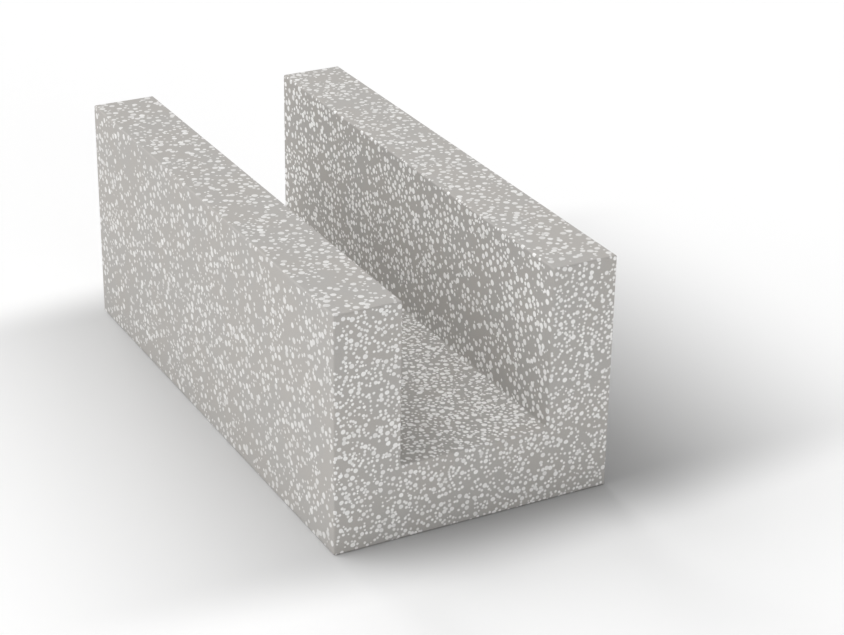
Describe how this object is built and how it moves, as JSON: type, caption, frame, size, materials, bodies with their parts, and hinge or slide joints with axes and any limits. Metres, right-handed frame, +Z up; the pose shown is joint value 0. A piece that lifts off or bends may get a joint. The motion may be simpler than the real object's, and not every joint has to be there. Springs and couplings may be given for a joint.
{
  "type": "u-shaped concrete block",
  "caption": "U-shaped lightweight concrete block with a channel open at the top and at both ends, laid in a wall as lost formwork for a ring beam or lintel.",
  "frame": {"origin": "middle of the flat bed that the block lies on, at floor level", "axes": "+Y along the block, parallel to the channel; +X across it, from wall to wall; +Z up, out of the channel's open top"},
  "size_m": [0.3, 0.6, 0.25],
  "materials": {
    "bead_concrete": "matt"
  },
  "bodies": {
    "root": {"u_block": "bead_concrete"}
  },
  "joints": []
}
